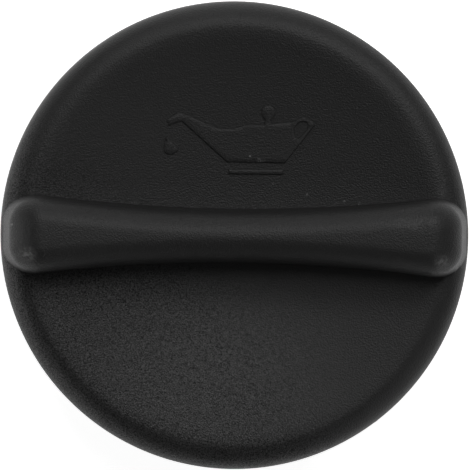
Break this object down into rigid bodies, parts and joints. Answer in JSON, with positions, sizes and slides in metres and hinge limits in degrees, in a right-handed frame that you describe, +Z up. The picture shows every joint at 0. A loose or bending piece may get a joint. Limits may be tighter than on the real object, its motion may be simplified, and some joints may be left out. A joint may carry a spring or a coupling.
{
  "type": "oil filler cap",
  "caption": "Round black engine oil filler cap with a waisted grip bar across its dished top, a quarter-turn bayonet plug with lugs and a flat rubber gasket.",
  "frame": {"origin": "centre of the sealing plane, on the axis of the cap", "axes": "+Z up along the cap's axis, out of the filler neck; +X along the grip bar; +Y towards the side of the top that carries the pictogram"},
  "size_m": [0.066, 0.066, 0.0344],
  "materials": {
    "cover_plastic": "black glass-filled nylon with a fine spark-eroded grain",
    "plug_plastic": "black nylon, smoother than the cover, with faint flow marks",
    "gasket_rubber": "dark nitrile rubber, dull"
  },
  "bodies": {
    "root": {"grip_cover": "cover_plastic", "bayonet_plug": "plug_plastic", "sealing_gasket": "gasket_rubber"}
  },
  "joints": []
}
